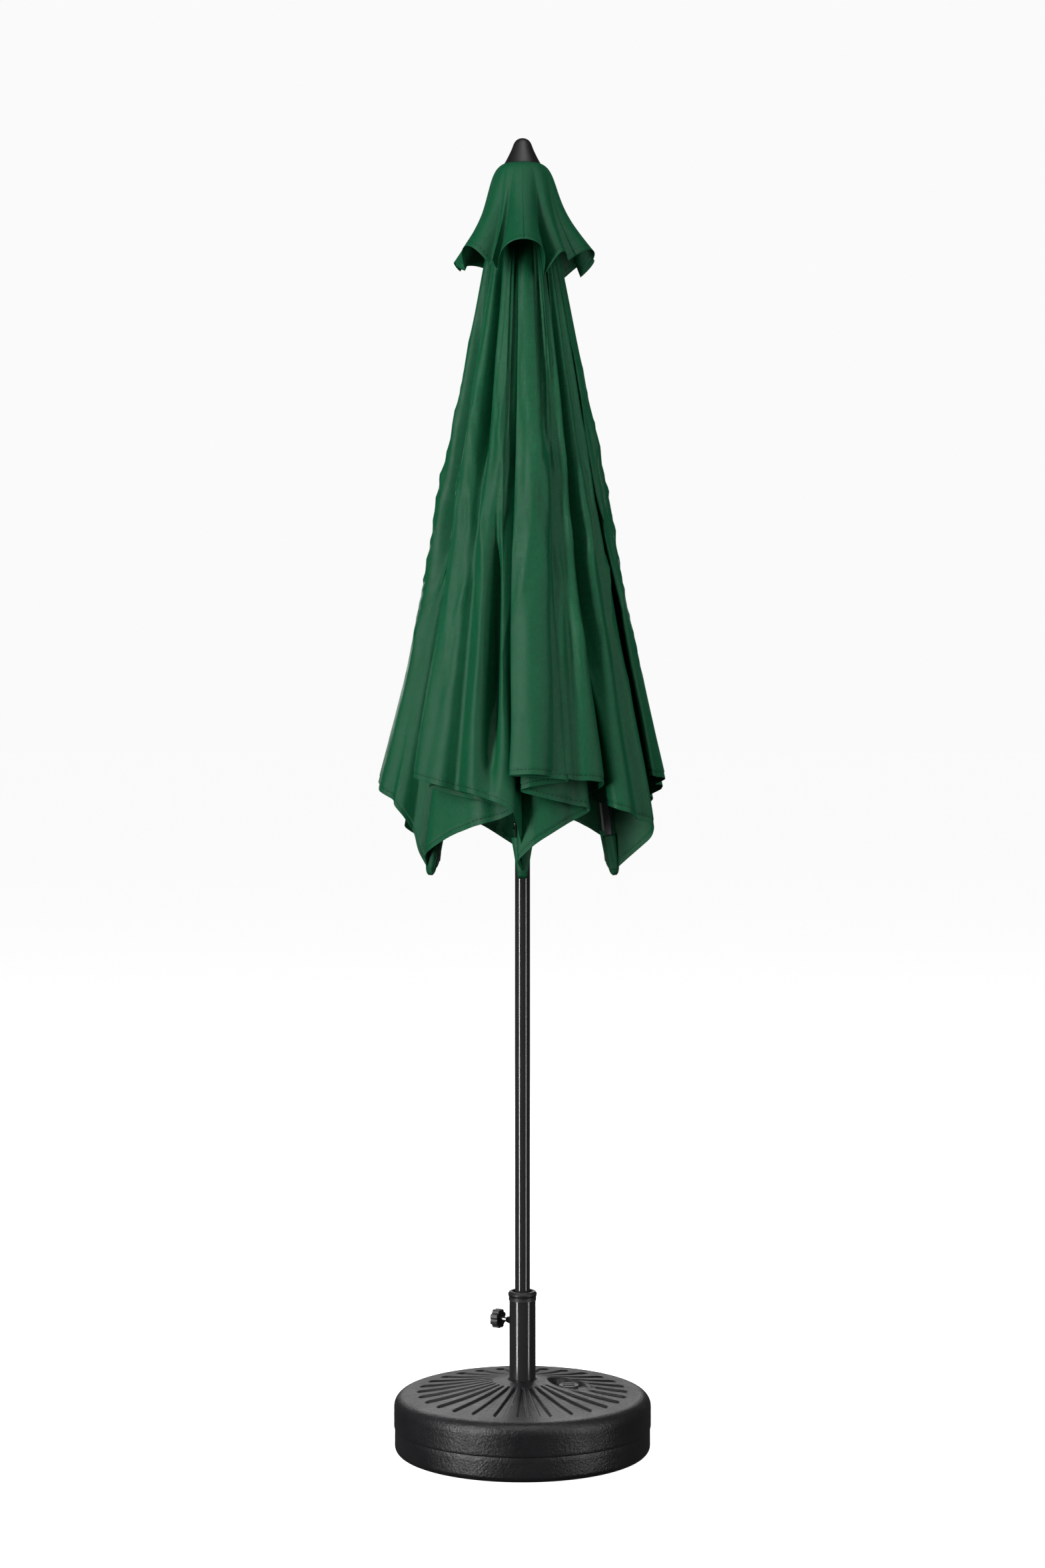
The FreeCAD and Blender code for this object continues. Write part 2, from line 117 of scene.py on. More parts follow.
def turn(points, axis, angle, pivot):
    """points turned by angle (a number or one per point) about axis through pivot."""
    p = points - pivot
    c = np.cos(angle)[..., None] if np.ndim(angle) else math.cos(angle)
    s = np.sin(angle)[..., None] if np.ndim(angle) else math.sin(angle)
    return pivot + p * c + np.cross(axis, p) * s + axis * (p @ axis)[..., None] * (1 - c)


def rib_azimuth(i):
    return FIRST_RIB + STEP * (i - 1)


OPEN_FALL = FURLED + OPENING
APEX_BACK = HUB_R / math.sin(rad(OPEN_FALL))
APEX = np.array([0, 0, HUB_Z + APEX_BACK * math.cos(rad(OPEN_FALL))])
HALF_GORE = 0.5 * math.degrees(math.acos(
    math.cos(rad(OPEN_FALL)) ** 2 + math.sin(rad(OPEN_FALL)) ** 2 * math.cos(rad(STEP))))
SIDE = RIB_LENGTH + APEX_BACK


def flat_gore(i, reach, u):
    """Where the cloth at (reach from the apex, u across) lies when the canopy is open."""
    left = along(np.array(rib_azimuth(i)), np.array(OPEN_FALL))
    right = along(np.array(rib_azimuth(i + 1)), np.array(OPEN_FALL))
    middle = (left + right) / np.linalg.norm(left + right)
    across = (right - left) / np.linalg.norm(right - left)
    b = np.radians((u - 0.5) * 2 * HALF_GORE)
    normal = np.cross(across, middle)
    normal = normal * np.sign(normal[2])
    spot = APEX + reach[..., None] * (np.cos(b)[..., None] * middle + np.sin(b)[..., None] * across)
    return spot + CLOTH_LIFT * normal


def spread_joint(i):
    """Pivot and axis of the joint that turns gore i from its rib's motion to the next rib's."""
    found = next(j for j in frame["joints"] if j["name"] == f"gore_{i}_spread")
    axis = np.array(found["axis"], float)
    return np.array(found["pos_m"], float), axis / np.linalg.norm(axis)


SPREAD = rad(62.3358)    # that joint's travel
WEIGHT_STEPS = 161


def spread_weights(i, rest, target):
    """Each point's share of the spread, 0 on rib i and 1 on the next, that opens it nearest target."""
    pivot, axis = spread_joint(i)
    a = rib_azimuth(i)
    hinge = HUB_R * outward(np.array(a)) + HUB_Z * UP
    k = np.array([math.sin(rad(a)), -math.cos(rad(a)), 0.0])
    best = np.full(rest.shape[:-1], 1e9)
    weight = np.zeros(rest.shape[:-1])
    for w in np.linspace(0, 1, WEIGHT_STEPS):
        opened = turn(turn(rest, axis, w * SPREAD, pivot), k, rad(OPENING), hinge)
        miss = np.linalg.norm(opened - target, axis=-1)
        closer = miss < best
        best[closer], weight[closer] = miss[closer], w
    return weight, best


# ---- the folds of each gore: (u across the cloth, azimuth from its middle, fall) ----
def wrapped(inner, fold, outer, lean=0.0):
    """A gore whose slack lies in two pleats under an outer flap that reaches from fold to outer."""
    return [
        (0.000, -30, 7.3), (0.030, -28, 7.7), (0.100, -6, 8.2), (0.185, inner, 8.3),
        (0.200, inner, 8.8), (0.260, 1, 8.9), (0.325, -inner, 9.1),
        (0.340, -inner, 9.5), (0.400, 0, 9.7), (0.455, inner - 2, 9.8),
        (0.470, inner - 2, 10.2), (0.530, 0, 10.3), (0.585, fold + 1, 10.4 + lean),
        (0.605, fold, 11.0 + lean), (0.650, fold + 0.25 * (outer - fold), 11.3 + lean),
        (0.700, fold + 0.5 * (outer - fold), 10.9 + lean), (0.745, fold + 0.75 * (outer - fold), 11.1),
        (0.800, outer, 10.9), (0.845, outer + 3, 9.6), (0.900, outer + 4, 8.4), (0.960, 28, 8.0),
        (1.000, 30, 7.3)]


SECTIONS = {
    1: [(0.000, -30, 7.3), (0.020, -33, 8.1), (0.100, -14, 8.6), (0.185, 2, 8.7), (0.200, 2, 9.2),
        (0.240, -14, 9.4), (0.290, -30, 9.6), (0.305, -30, 10.0), (0.345, -18, 10.1), (0.375, -8, 10.1),
        (0.390, -8, 10.5), (0.425, -20, 10.5), (0.465, -33, 10.7), (0.485, -36, 11.1),
        (0.515, -27, 11.4), (0.550, -17, 11.4), (0.562, -15.5, 10.3), (0.578, -12, 10.2), (0.610, -4, 10.9),
        (0.645, 4, 10.8), (0.665, 6, 10.0), (0.700, 9, 7.4), (0.735, 14, 6.8), (0.775, 13, 8.4),
        (0.812, 7.5, 10.6), (0.842, 14, 11.4), (0.890, 27, 11.2), (0.928, 31, 10.5), (0.962, 31, 9.0),
        (1.000, 30, 7.3)],
    2: wrapped(22, -29, 20, 0.5),
    3: wrapped(24, -25, 21, -0.1),
    4: wrapped(22, -23, 19, -0.2),
    5: wrapped(23, -20, 20, 0.2),
    6: [(0.000, -30, 7.3), (0.030, -29, 7.9), (0.100, -6, 8.3), (0.185, 24, 8.4),
        (0.200, 24, 8.9), (0.260, 2, 9.0), (0.325, -20, 9.2), (0.340, -20, 9.6), (0.400, 0, 9.8),
        (0.455, 19, 9.8), (0.470, 19, 10.2), (0.530, 0, 10.3), (0.575, -20, 10.6), (0.595, -22, 11.2),
        (0.630, -15, 11.5), (0.668, -7, 11.2), (0.678, -5, 10.7), (0.705, 1, 10.9),
        (0.750, 10, 11.1), (0.795, 20, 10.7), (0.828, 25, 10.2), (0.865, 26, 9.2), (0.925, 28, 8.0),
        (1.000, 30, 7.3)],
}


def smoothed(values, grid, at):
    """The broken line values(grid), rounded by a bell of FOLD_ROUNDING and held at both ends."""
    fine = np.linspace(-0.1, 1.1, 1201)
    line = np.interp(fine, grid, values)
    bell = np.exp(-0.5 * (np.arange(-60, 61) * (fine[1] - fine[0]) / FOLD_ROUNDING) ** 2)
    soft = np.convolve(line, bell / bell.sum(), "same")
    hold = np.clip(np.minimum(fine, 1 - fine) / 0.03, 0, 1)
    return np.interp(at, fine, hold * soft + (1 - hold) * line)


def surface_normals(grid):
    du = np.gradient(grid, axis=1)
    dv = np.gradient(grid, axis=0)
    n = np.cross(dv, du)
    n /= np.linalg.norm(n, axis=-1)[..., None] + 1e-12
    return n


def hem_rows(length):
    """Distances from the hem to every row, closer together over the stitched band."""
    band = [0.0, 0.0012, 0.0035, 0.0075, 0.0105, HEM_BAND, HEM_BAND + 0.0014, HEM_BAND + 0.004]
    return np.concatenate([band, np.linspace(HEM_BAND + 0.010, length, ROWS_ABOVE_HEM)])


def gore_grid(i):
    """Rest positions, open targets and cloth coordinates of gore i, rows from the hem up."""
    u_line = np.linspace(0, 1, COLUMNS + 1)
    rows = hem_rows(1.0)
    rows = rows / rows[-1]
    u, s = np.meshgrid(u_line, rows)
    hem = SIDE * math.cos(rad(HALF_GORE)) / np.cos(np.radians((u - 0.5) * 2 * HALF_GORE))
    reach = hem - s * (hem - CLOTH_TOP)
    table = SECTIONS[i]
    knots = [row[0] for row in table]
    fall = smoothed([row[2] for row in table], knots, u)
    azimuth = smoothed([row[1] for row in table], knots, u)
    inside = np.clip(np.minimum(u, 1 - u) / 0.06, 0, 1)
    low = 1 - s
    azimuth = azimuth + rib_azimuth(i) + STEP / 2
    sway = 1.6 * np.sin(2.3 * low + 1.9 * i) + 0.7 * np.sin(7.0 * low + i)
    azimuth = azimuth + inside * sway * (0.3 + low)
    azimuth = azimuth + inside * (0.25 + low) * 2.6 * field(azimuth, low, 0.22, 2.4, 7)
    fuller = 1 + 0.16 * np.exp(-low / 0.22) + 0.03 * np.clip(low - 0.8, 0, 1) / 0.2
    waist = 1 - 0.10 * np.exp(-((low - 0.55) / 0.22) ** 2)
    for edge, swing in DRIFTS.get(i, ()):
        azimuth = azimuth + swing * s * np.exp(-((u - edge) / DRIFT_WIDTH) ** 2)
    fall = FURLED + (fall - FURLED) * fuller * waist
    fall = fall + inside * 0.40 * field(azimuth, low, 0.35, 1.8, 2) * (0.3 + low)
    fall = PINCH + (fall - PINCH) * (1 - inside * grooves(azimuth, low))
    fall = VALLEY_FALL + (fall - VALLEY_FALL) * (1 - inside * valleys(azimuth, low))
    spot = HUB_R * outward(azimuth) + HUB_Z * UP + (reach - APEX_BACK)[..., None] * along(azimuth, fall)
    spot = spot + CLOTH_LIFT * proud(azimuth, fall)
    width = reach / SIDE
    outer = np.clip((fall - 8.6) / 2.0, 0, 1)
    gathered = np.exp(-((low - 0.48) / 0.24) ** 2)
    slant = 1 - np.abs(field(azimuth + 40 * low, low, 0.55, 1.9, 5))
    slant_back = 1 - np.abs(field(azimuth - 45 * low, low, 0.5, 1.7, 6))
    ripple = (5.5 * field(azimuth, low, 0.8, 2.2, 3) + 1.0 * field(azimuth + 9 * low, low, 1.9, 5.0, 4)
              + gathered * 8.0 * (slant ** 5 + slant_back ** 5) + pulls(azimuth, low)) * outer * 0.001
    spot = spot + proud(azimuth, fall) * (ripple * inside * (0.3 + 0.9 * width))[..., None]
    step = np.where(rows * (SIDE - CLOTH_TOP) <= HEM_BAND, HEM_STEP, 0.0)
    spot = spot + surface_normals(spot) * step[:, None, None]
    return spot, flat_gore(i, reach, u), reach, u, rows


GROOVES = [  # azimuth at the hem, drift towards the top, depth, width in degrees
    (-120, -4, 0.30, 2.0), (-66, 9, 0.24, 2.4),
    (-38, -3, 0.22, 2.4), (-6, 5, 0.13, 3.4), (14, -4, 0.22, 2.8), (38, 6, 0.28, 2.8), (56, -5, 0.32, 2.6),
    (74, 3, 0.20, 2.2), (100, -6, 0.30, 2.6), (118, 5, 0.26, 3.0), (134, -3, 0.22, 2.4), (164, 5, 0.24, 3.0),
    (182, -5, 0.12, 3.4), (197, 4, 0.24, 3.0)]


VALLEYS = [  # as GROOVES, then the height of the middle down the cloth and the reach either way
    (-121, -3, 0.85, 3.6, 0.22, 0.20), (-104, -7, 0.70, 3.0, 0.74, 0.20), (-75, 6, 0.60, 3.0, 0.22, 0.18),
    (-51, 4, 0.85, 3.0, 0.42, 0.34), (-15, 4, 0.85, 4.0, 0.35, 0.25), (16, -4, 0.85, 4.0, 0.42, 0.28),
    (66, 3, 0.80, 4.0, 0.30, 0.22), (104, -4, 0.90, 4.0, 0.45, 0.26), (136, 4, 0.80, 4.0, 0.32, 0.24),
    (172, -3, 0.85, 4.0, 0.42, 0.26), (196, 4, 0.80, 4.0, 0.36, 0.24)]


def valleys(azimuth, low):
    """How far the deep valleys draw each place in, 0 to 1."""
    out = np.zeros_like(azimuth)
    for centre, drift, depth, width, height, length in VALLEYS:
        off = (azimuth - centre - drift * (1 - low) + 180) % 360 - 180
        here = np.exp(-((low - height) / length) ** 4)
        out = np.maximum(out, depth * here * np.exp(-(off / width) ** 2))
    return out


def grooves(azimuth, low):
    """How far each place is drawn in towards the pole by the long creases, 0 to about 0.35."""
    out = np.zeros_like(azimuth)
    for centre, drift, depth, width in GROOVES:
        off = (azimuth - centre - drift * (1 - low) + 180) % 360 - 180
        out = np.maximum(out, depth * np.exp(-(off / (1.35 * width)) ** 2))
    return out


def field(azimuth, low, across, down, seed):
    """Smooth random field round the canopy, about -1 to 1, one value for every layer at a place."""
    a = np.radians(azimuth)
    ring = 9.5 * across
    out = np.empty(azimuth.shape)
    for index in np.ndindex(azimuth.shape):
        out[index] = noise.noise(Vector((ring * math.cos(a[index]) + 11.0 * seed, ring * math.sin(a[index]),
                                         low[index] * down + 3.7 * seed)))
    return 1.6 * out


PULLS = [  # azimuth, height down the cloth (0 top, 1 hem), lean in degrees, length, millimetres
    (-128, 0.42, 16, 0.07, 5.0), (-118, 0.55, -14, 0.09, 4.0), (-110, 0.36, 20, 0.06, 4.0),
    (-88, 0.50, -18, 0.10, 4.5), (-76, 0.62, 13, 0.12, 4.5), (-70, 0.78, -10, 0.12, 3.5),
    (-60, 0.70, 22, 0.10, 5.0), (-132, 0.75, 9, 0.12, 3.5), (-20, 0.60, -14, 0.10, 4.0),
    (30, 0.45, 15, 0.09, 4.0), (80, 0.65, -12, 0.12, 4.0), (110, 0.40, 12, 0.08, 4.5),
    (150, 0.70, 14, 0.10, 4.0), (190, 0.55, -16, 0.10, 4.5), (210, 0.80, 10, 0.12, 3.5)]


PULL_GAIN = 1.4


def pulls(azimuth, low):
    """Sharper slanting creases where the cloth was gathered, in millimetres."""
    out = np.zeros_like(azimuth)
    for centre, height, lean, length, rise in PULLS:
        off = (azimuth - centre + 180) % 360 - 180 - lean * (low - height) / length * 0.35
        out += PULL_GAIN * rise * np.exp(-np.abs(off) / 2.2) * np.exp(-((low - height) / length) ** 2)
    return out


def grid_mesh(name, grid, uv_u, uv_v, hem_distance):
    """One continuous sheet from a grid of points, with its cloth coordinates and hem distance."""
    rows, cols = grid.shape[:2]
    faces = [(r * cols + c, r * cols + c + 1, (r + 1) * cols + c + 1, (r + 1) * cols + c)
             for r in range(rows - 1) for c in range(cols - 1)]
    mesh = bpy.data.meshes.new(name)
    mesh.from_pydata(grid.reshape(-1, 3).tolist(), [], faces)
    layer = mesh.uv_layers.new(name="cloth")
    flat_u, flat_v = uv_u.ravel(), uv_v.ravel()
    corners = np.empty(len(mesh.loops), np.int32)
    mesh.loops.foreach_get("vertex_index", corners)
    layer.data.foreach_set("uv", np.stack([flat_u[corners], flat_v[corners]], -1).astype(np.float32).ravel())
    hem = mesh.attributes.new("hem_m", "FLOAT", "POINT")
    hem.data.foreach_set("value", hem_distance.astype(np.float32).ravel())
    for polygon in mesh.polygons:
        polygon.use_smooth = True
    piece = bpy.data.objects.new(name, mesh)
    bpy.context.scene.collection.objects.link(piece)
    return piece


def set_weights(piece, weight):
    attribute = piece.data.attributes["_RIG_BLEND"]
    attribute.data.foreach_set("value", weight.astype(np.float32).ravel())


def thicken(piece, thickness):
    solid = piece.modifiers.new("cloth_thickness", "SOLIDIFY")
    solid.thickness = thickness
    solid.offset = 0


def blend_across(piece, i, weight):
    start = along(np.array(rib_azimuth(i)), np.array(FURLED)) + HUB_Z * UP
    end = along(np.array(rib_azimuth(i + 1)), np.array(FURLED)) + HUB_Z * UP
    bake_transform(piece, f"rib_{i}", f"gore_{i}", tuple(start), tuple(end))
    set_weights(piece, weight)


def make_gore(i, fabric):
    spot, target, reach, u, rows = gore_grid(i)
    weight, miss = spread_weights(i, spot, target)
    b = np.radians((u - 0.5) * 2 * HALF_GORE)
    hem_distance = np.broadcast_to((rows * (SIDE - CLOTH_TOP))[:, None], u.shape)
    piece = grid_mesh(f"canopy_panel_{i}", spot, reach * np.sin(b), reach * np.cos(b), hem_distance)
    piece.data.materials.append(fabric)
    thicken(piece, CLOTH_THICKNESS)
    blend_across(piece, i, weight)
    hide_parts(f"canopy_gore_{i}")
    print(f"gore {i}: open miss mean {miss.mean() * 1000:.0f} mm, most {miss.max() * 1000:.0f} mm")


POCKET_TOP, POCKET_END = 1.240, 1.313
POCKET_ROWS, POCKET_COLUMNS = 22, 40


def make_pocket(i, fabric):
    """The sewn pocket that holds the end of rib i, wider at its mouth."""
    azimuth, fall = np.array(float(rib_azimuth(i))), np.array(FURLED)
    down, out = along(azimuth, fall), proud(azimuth, fall)
    side = np.cross(out, down)
    t, a = np.meshgrid(np.linspace(0, 1, POCKET_ROWS + 1), np.linspace(0, 2 * np.pi, POCKET_COLUMNS + 1),
                       indexing="ij")
    closing = np.sqrt(np.clip(1 - np.clip((t - 0.72) / 0.28, 0, 1) ** 2.4, 0.0, 1))
    half_width = 0.0200 - 0.0125 * t
    half_depth = (0.0100 - 0.0015 * t) * (0.08 + 0.92 * closing) + 0.0012 * np.sin(3 * a + i) * (1 - t)
    reach = POCKET_TOP + t * (POCKET_END - POCKET_TOP)
    x = half_width * np.sign(np.cos(a)) * np.abs(np.cos(a)) ** 0.8
    y = 0.002 + half_depth * np.sign(np.sin(a)) * np.abs(np.sin(a)) ** 0.8
    spot = (HUB_R * outward(azimuth) + HUB_Z * UP + reach[..., None] * down
            + x[..., None] * side + y[..., None] * out)
    piece = grid_mesh(f"tip_pocket_{i}", spot, 0.012 * a, reach, (1 - t) * (POCKET_END - POCKET_TOP))
    piece.data.materials.append(fabric)
    thicken(piece, CLOTH_THICKNESS)
    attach(piece, f"rib_{i}")


VENT_HEM = 0.205         # depth of the flap, and about its hem in one sector
VENT_FALL = 23.6
VENT_CREASES = [  # azimuth, depth, width in degrees
    (-131, 8.5, 8), (-107, 10.0, 8), (-66, 10.5, 9), (-34, 7.5, 8), (8, 8.5, 9), (40, 9.5, 10), (75, 8.0, 8),
    (110, 9.5, 10), (150, 8.5, 9), (193, 8.0, 9)]


def vent_creases(azimuth):
    """Depth of the vent's gathers in degrees of fall, from sharp valleys at uneven places."""
    out = np.zeros_like(azimuth)
    for centre, depth, width in VENT_CREASES:
        off = (azimuth - centre + 180) % 360 - 180
        out = out + depth * np.exp(-np.abs(off / width) ** 1.5)
    return out


def make_vent(i, fabric):
    """One sixth of the ruffled top flap, from under the finial to its wavy hem."""
    u, s = np.meshgrid(np.linspace(0, 1, VENT_COLUMNS + 1), np.linspace(0, 1, VENT_ROWS + 1))
    low = 1 - s
    base = rib_azimuth(i) + STEP * u
    a = np.radians(base)
    phase = np.radians(base + 90)
    early = low ** 0.55
    azimuth = base + early * (6.5 * np.sin(6 * phase + 0.4 + 0.5 * np.sin(a)) + 2.2 * np.sin(9 * phase + 1.0)
                              + 2.5 * np.sin(2 * a))
    crease = vent_creases(base)
    ruffle = 2.6 * np.cos(6 * phase) + 2.0 * np.sin(3 * a + 0.6) + 1.6 * np.cos(9 * phase + 0.5)
    fall = VENT_FALL + early * ruffle
    fall = fall - early * crease
    length = 0.188 + 0.007 * (1 - np.cos(6 * phase)) + 0.005 * np.sin(3 * a) + 0.0022 * crease
    reach = low * length
    spot = VENT_TOP_R * outward(azimuth) + VENT_TOP_Z * UP + reach[..., None] * along(azimuth, fall)
    bulge = 0.012 * (1 - np.exp(-reach / 0.012)) - 0.007 * np.sin(np.pi * low) ** 2 + 0.010 * low ** 5
    spot = spot + bulge[..., None] * proud(azimuth, fall)
    target = flat_gore(i, reach + VENT_TOP_R, u)
    weight, _ = spread_weights(i, spot, target)
    weight[:, 0], weight[:, -1] = 0.0, 1.0
    hem_distance = s * VENT_HEM
    piece = grid_mesh(f"vent_panel_{i}", spot, VENT_HEM * (u + i), reach, hem_distance)
    piece.data.materials.append(fabric)
    thicken(piece, CLOTH_THICKNESS)
    blend_across(piece, i, weight)
    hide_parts(f"vent_flap_{i}")


# ---- the tank: the CAD shell's outside, with its moulded channels ----
TANK_R, TANK_RIM_Z, TANK_NECK_Z, TANK_NECK_R = 0.239, 0.106, 0.133, 0.034
TANK_SHOULDER, TANK_PARTING_Z, TANK_STEP, TANK_FOOT = 0.022, 0.047, 0.0015, 0.012
WELL_R, WELL_FLOOR_Z = 0.0246, 0.004
FILLER_X, DISH_R, DISH_FLOOR_Z, FILLER_HOLE_R = 0.086, 0.036, 0.1119, 0.0145
CHANNELS, CHANNEL_DEPTH, CHANNEL_IN, CHANNEL_OUT = 28, 0.0036, 0.058, 0.196
TANK_SECTORS = 840


def ease(value, low, high):
    t = np.clip((value - low) / (high - low), 0, 1)
    return t * t * (3 - 2 * t)


def channel_depth(r, a):
    """Depth of the long U-ended channels in the tank's top, wider towards the rim."""
    pitch = 2 * np.pi / CHANNELS
    off = np.abs((a + pitch / 2) % pitch - pitch / 2) * r
    along_it = np.clip((r - CHANNEL_IN) / (CHANNEL_OUT - CHANNEL_IN), 0, 1)
    half = 0.0016 + 0.0082 * along_it
    past = np.maximum(0, r - (CHANNEL_OUT - half)) + np.maximum(0, CHANNEL_IN - r)
    inside = half - np.hypot(off, past)
    depth = CHANNEL_DEPTH * ease(inside, -0.0012, 0.0022) + 0.0009 * np.exp(-(inside / 0.0016) ** 2)
    depth = np.where(past > half * 1.6, 0, depth)
    clear = ease(np.hypot(r * np.cos(a) - FILLER_X, r * np.sin(a)), DISH_R + 0.007, DISH_R + 0.022)
    return depth * clear


def tank_top(r, a):
    """Height of the tank's top face, with channels, neck and filler dish."""
    face = TANK_RIM_Z + (TANK_NECK_Z - TANK_RIM_Z) * np.clip(
        (TANK_R - TANK_SHOULDER - r) / (TANK_R - TANK_SHOULDER - TANK_NECK_R), 0, 1) ** 1.25
    face = face - channel_depth(r, a)
    away = np.hypot(r * np.cos(a) - FILLER_X, r * np.sin(a))
    floor_z = np.where(away < FILLER_HOLE_R, DISH_FLOOR_Z - 0.010, DISH_FLOOR_Z)
    lip = 0.0012 * np.exp(-((away - DISH_R - 0.003) / 0.003) ** 2)
    return np.where(away < DISH_R + 0.004, np.minimum(face, floor_z + (face + lip - floor_z)
                    * ease(away, DISH_R - 0.006, DISH_R + 0.004)), face + lip)


def tank_outline():
    """(radius, height or None for the top face) from the well's floor out over the top and under the foot."""
    inner = [(WELL_R, WELL_FLOOR_Z), (WELL_R, 0.09), (WELL_R, TANK_NECK_Z - 0.004),
             (WELL_R + 0.001, TANK_NECK_Z - 0.0008)]
    top = [(r, None) for r in np.arange(WELL_R + 0.004, TANK_R - TANK_SHOULDER, 0.00165)]
    bend = [(TANK_R - TANK_SHOULDER + TANK_SHOULDER * math.sin(rad(b)),
             TANK_RIM_Z - TANK_SHOULDER + TANK_SHOULDER * math.cos(rad(b))) for b in range(0, 91, 6)]
    low = TANK_R - TANK_STEP
    side = [(TANK_R, z) for z in (0.079, 0.070, 0.060, 0.052)]
    side += [(TANK_R, TANK_PARTING_Z + 0.0012), (TANK_R - 0.0004, TANK_PARTING_Z + 0.0003),
             (low - 0.0006, TANK_PARTING_Z - 0.0004), (low, TANK_PARTING_Z - 0.0016),
             (low, 0.036), (low, 0.024)]
    foot = [(low - TANK_FOOT + TANK_FOOT * math.cos(rad(b)), TANK_FOOT - TANK_FOOT * math.sin(rad(b)))
            for b in range(0, 91, 10)]
    return inner + top + bend + side + foot + [(0.20, 0.0), (0.10, 0.0), (WELL_R, 0.0)]


def make_tank(plastic):
    a = np.linspace(0, 2 * np.pi, TANK_SECTORS, endpoint=False)
    line = tank_outline()
    verts = []
    for r, z in line:
        ring_z = tank_top(np.full_like(a, r), a) if z is None else np.full_like(a, z)
        verts.append(np.stack([r * np.cos(a), r * np.sin(a), ring_z], -1))
    verts = np.concatenate(verts)
    rows, cols = len(line), TANK_SECTORS
    faces = [(k * cols + c, (k + 1) * cols + c, (k + 1) * cols + (c + 1) % cols, k * cols + (c + 1) % cols)
             for k in range(rows - 1) for c in range(cols)]
    faces.append(tuple((rows - 1) * cols + c for c in range(cols)))
    faces.append(tuple(range(cols - 1, -1, -1)))
    mesh = bpy.data.meshes.new("tank_cover")
    mesh.from_pydata(verts.tolist(), [], faces)
    for polygon in mesh.polygons[:-2]:
        polygon.use_smooth = True
    mesh.materials.append(plastic)
    piece = bpy.data.objects.new("tank_cover", mesh)
    bpy.context.scene.collection.objects.link(piece)
    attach(piece, "base")
    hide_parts("base_shell")


# ---- the finial: a smooth bell with a thin rolled rim ----
FINIAL_TOP_Z, FINIAL_RIM_Z = 2.441, 2.3882
FINIAL_SHAPE = [  # below the top, radius, millimetres
    (0.0, 0.0), (0.25, 3.0), (1.1, 6.4), (2.7, 9.8), (5.2, 12.8), (8.4, 15.2), (12.0, 16.9), (17.0, 18.8),
    (22.4, 20.9), (28.0, 23.5), (34.0, 26.4), (40.0, 29.5), (45.5, 32.6), (49.5, 35.3), (50.8, 36.4),
    (51.4, 36.9), (52.3, 36.9), (52.8, 36.2), (52.8, 33.0), (49.0, 31.5), (40.0, 27.0)]
FINIAL_SECTORS = 96


def make_finial(plastic):
    a = np.linspace(0, 2 * np.pi, FINIAL_SECTORS, endpoint=False)
    rings = [np.stack([r * 0.001 * np.cos(a), r * 0.001 * np.sin(a),
                       np.full_like(a, FINIAL_TOP_Z - d * 0.001)], -1) for d, r in FINIAL_SHAPE[1:]]
    verts = [(0.0, 0.0, FINIAL_TOP_Z)] + np.concatenate(rings).tolist()
    n = FINIAL_SECTORS
    faces = [(0, 1 + c, 1 + (c + 1) % n) for c in range(n)]
    faces += [(1 + k * n + c, 1 + (k + 1) * n + c, 1 + (k + 1) * n + (c + 1) % n, 1 + k * n + (c + 1) % n)
              for k in range(len(rings) - 1) for c in range(n)]
    faces.append(tuple(1 + (len(rings) - 1) * n + c for c in range(n - 1, -1, -1)))
    mesh = bpy.data.meshes.new("finial_bell")
    mesh.from_pydata(verts, [], faces)
    for polygon in mesh.polygons[:-1]:
        polygon.use_smooth = True
    mesh.materials.append(plastic)
    piece = bpy.data.objects.new("finial_bell", mesh)
    bpy.context.scene.collection.objects.link(piece)
    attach(piece, "mast")
    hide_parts("finial")


# ---- materials ----
def linear(r, g, b):
    """An sRGB colour of 0 to 255 as the linear numbers a shader takes."""
    def one(v):
        v /= 255
        return v / 12.92 if v <= 0.04045 else ((v + 0.055) / 1.055) ** 2.4
    return (one(r), one(g), one(b), 1.0)


